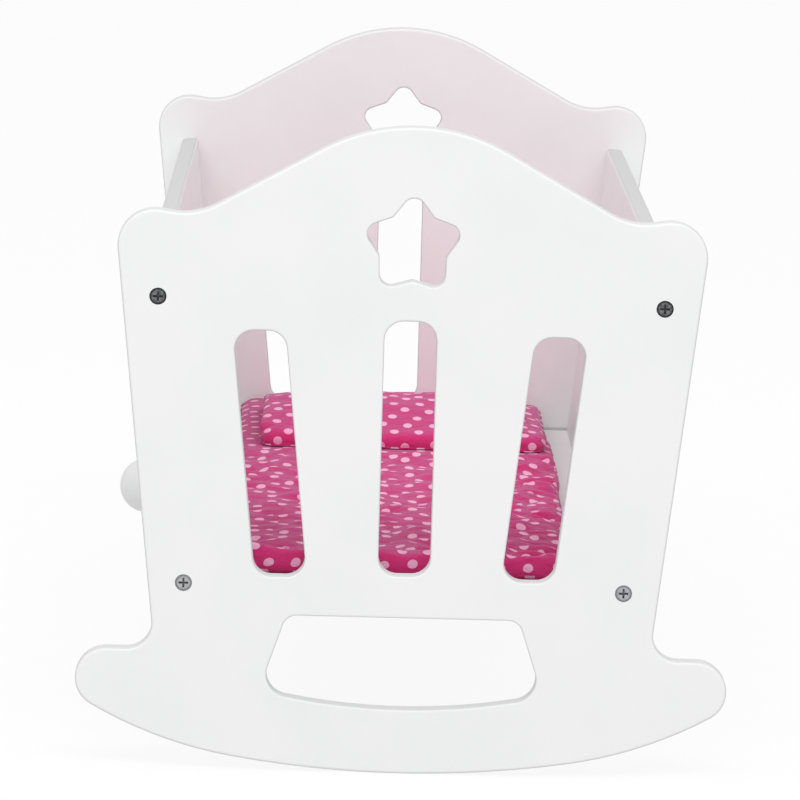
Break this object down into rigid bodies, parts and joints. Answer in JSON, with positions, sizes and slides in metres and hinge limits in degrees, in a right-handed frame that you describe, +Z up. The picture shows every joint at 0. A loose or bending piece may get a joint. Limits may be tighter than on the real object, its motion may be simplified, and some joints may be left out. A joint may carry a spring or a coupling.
{
  "type": "doll cradle",
  "caption": "White rocking doll cradle with arched end panels, slots, a star cut-out, leaning side boards and dotted bedding.",
  "frame": {"origin": "midway between the two end panels and between the side boards, on the lowest line of the rockers", "axes": "+X to the cradle's right seen from the foot end, +Y from the foot panel to the head panel, +Z up"},
  "size_m": [0.31, 0.5, 0.31],
  "materials": {
    "painted_panel": "satin white paint over fibreboard",
    "painted_board": "satin white paint over fibreboard",
    "painted_base": "white foil on thin fibreboard",
    "painted_knob": "satin white paint over turned wood",
    "screw_steel": "zinc-plated",
    "dotted_cotton": "printed cotton, soft fill"
  },
  "bodies": {
    "cradle": {"foot_panel": "painted_panel", "head_panel": "painted_panel", "left_side_board": "painted_board", "right_side_board": "painted_board", "base_board": "painted_base", "foot_panel_screws": "screw_steel", "head_panel_screws": "screw_steel", "rocking_knob": "painted_knob", "knob_screw": "screw_steel"},
    "mattress": {"mattress": "dotted_cotton"},
    "duvet": {"duvet": "dotted_cotton"},
    "pillow": {"pillow": "dotted_cotton"}
  },
  "joints": [
    {"name": "mattress_lift", "type": "slide", "parent": "cradle", "child": "mattress", "axis": [0, 0, 1], "range_m": [0, 0.24]},
    {"name": "duvet_lift", "type": "slide", "parent": "mattress", "child": "duvet", "axis": [0, 0, 1], "range_m": [0, 0.24]},
    {"name": "pillow_lift", "type": "slide", "parent": "duvet", "child": "pillow", "axis": [0, 0, 1], "range_m": [0, 0.24]}
  ]
}
